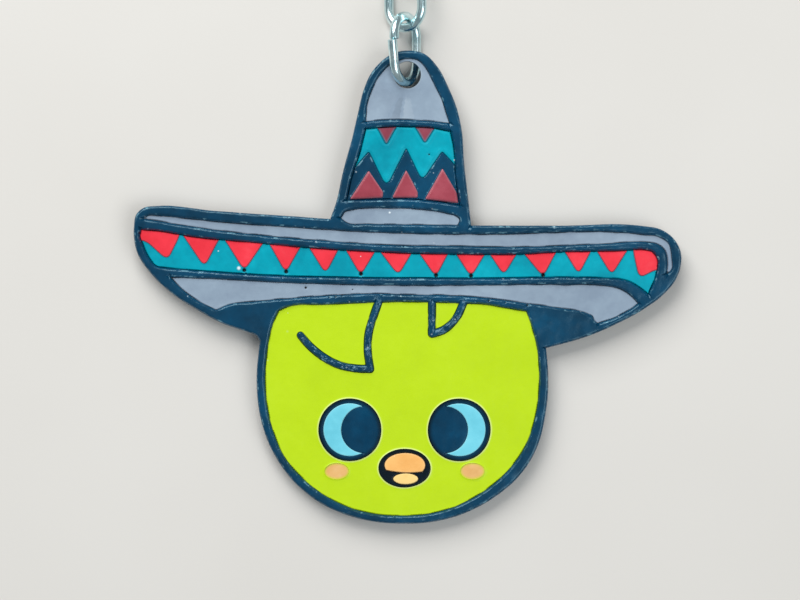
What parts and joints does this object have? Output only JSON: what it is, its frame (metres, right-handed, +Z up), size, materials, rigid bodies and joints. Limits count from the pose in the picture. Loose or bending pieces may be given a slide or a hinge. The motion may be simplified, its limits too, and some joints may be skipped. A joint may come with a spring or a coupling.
{
  "type": "keychain",
  "caption": "Flat soft-PVC chick's-head charm in a sombrero, with raised outlines over colour infills, on a short wire-link chain and a split ring.",
  "frame": {"origin": "bottom centre of the bounding box: on the surface the keychain lies on, below the middle of its length and of the charm's width", "axes": "+Z up out of the charm's face, +Y from the chick's chin to the split ring, +X to the right as the face is seen"},
  "size_m": [0.07, 0.1147, 0.0059],
  "materials": {
    "navy_pvc": "satin soft PVC",
    "grey_pvc": "satin soft PVC",
    "lime_pvc": "satin soft PVC",
    "teal_pvc": "satin soft PVC",
    "bright_red_pvc": "satin soft PVC",
    "dark_red_pvc": "satin soft PVC",
    "light_blue_pvc": "satin soft PVC",
    "orange_pvc": "satin soft PVC",
    "peach_pvc": "satin soft PVC",
    "nickel_steel": "nickel-plated steel wire"
  },
  "bodies": {
    "charm": {"back_layer": "navy_pvc", "outline_walls": "navy_pvc", "crown_cap_fill": "grey_pvc", "crown_navy_zigzag": "navy_pvc", "crown_teal_zigzag": "teal_pvc", "crown_upper_triangles": "dark_red_pvc", "crown_lower_triangles": "dark_red_pvc", "crown_hem_fill": "grey_pvc", "brim_edge_fill": "grey_pvc", "brim_teal_band": "teal_pvc", "brim_red_triangles": "bright_red_pvc", "brim_under_fill": "grey_pvc", "face_fill": "lime_pvc", "tuft_fill": "lime_pvc", "left_eye": "navy_pvc", "right_eye": "navy_pvc", "left_eye_glint": "light_blue_pvc", "right_eye_glint": "light_blue_pvc", "beak_outline": "navy_pvc", "upper_beak": "orange_pvc", "lower_beak": "peach_pvc", "left_cheek": "peach_pvc", "right_cheek": "peach_pvc"},
    "connecting_link_body": {"connecting_link": "nickel_steel"},
    "chain_link_2_body": {"chain_link_2": "nickel_steel"},
    "chain_link_3_body": {"chain_link_3": "nickel_steel"},
    "chain_link_4_body": {"chain_link_4": "nickel_steel"},
    "chain_link_5_body": {"chain_link_5": "nickel_steel"},
    "split_ring_body": {"split_ring": "nickel_steel"}
  },
  "joints": [
    {"name": "hole_to_connecting_link", "type": "hinge", "parent": "charm", "child": "connecting_link_body", "pos_m": [-0.00028, 0.00179, 0.00278], "axis": [0.8387, 0, 0.5446], "range_deg": [-60, 5]},
    {"name": "chain_link_2_swing", "type": "hinge", "parent": "connecting_link_body", "child": "chain_link_2_body", "pos_m": [-0.00028, 0.00879, 0.00213], "axis": [-0.5878, 0, 0.809], "range_deg": [-60, 60]},
    {"name": "chain_link_3_swing", "type": "hinge", "parent": "chain_link_2_body", "child": "chain_link_3_body", "pos_m": [-0.00028, 0.01579, 0.0028], "axis": [0.866, 0, 0.5], "range_deg": [-60, 60]},
    {"name": "chain_link_4_swing", "type": "hinge", "parent": "chain_link_3_body", "child": "chain_link_4_body", "pos_m": [-0.00028, 0.02279, 0.0022], "axis": [-0.4695, 0, 0.8829], "range_deg": [-60, 60]},
    {"name": "chain_link_5_swing", "type": "hinge", "parent": "chain_link_4_body", "child": "chain_link_5_body", "pos_m": [-0.00028, 0.02974, 0.0029], "axis": [0.8988, 0, 0.4384], "range_deg": [-60, 60]},
    {"name": "split_ring_swing", "type": "hinge", "parent": "chain_link_5_body", "child": "split_ring_body", "pos_m": [-0.00028, 0.03294, 0.0029], "axis": [0.8988, 0, 0.4384], "range_deg": [-120, 120]}
  ]
}
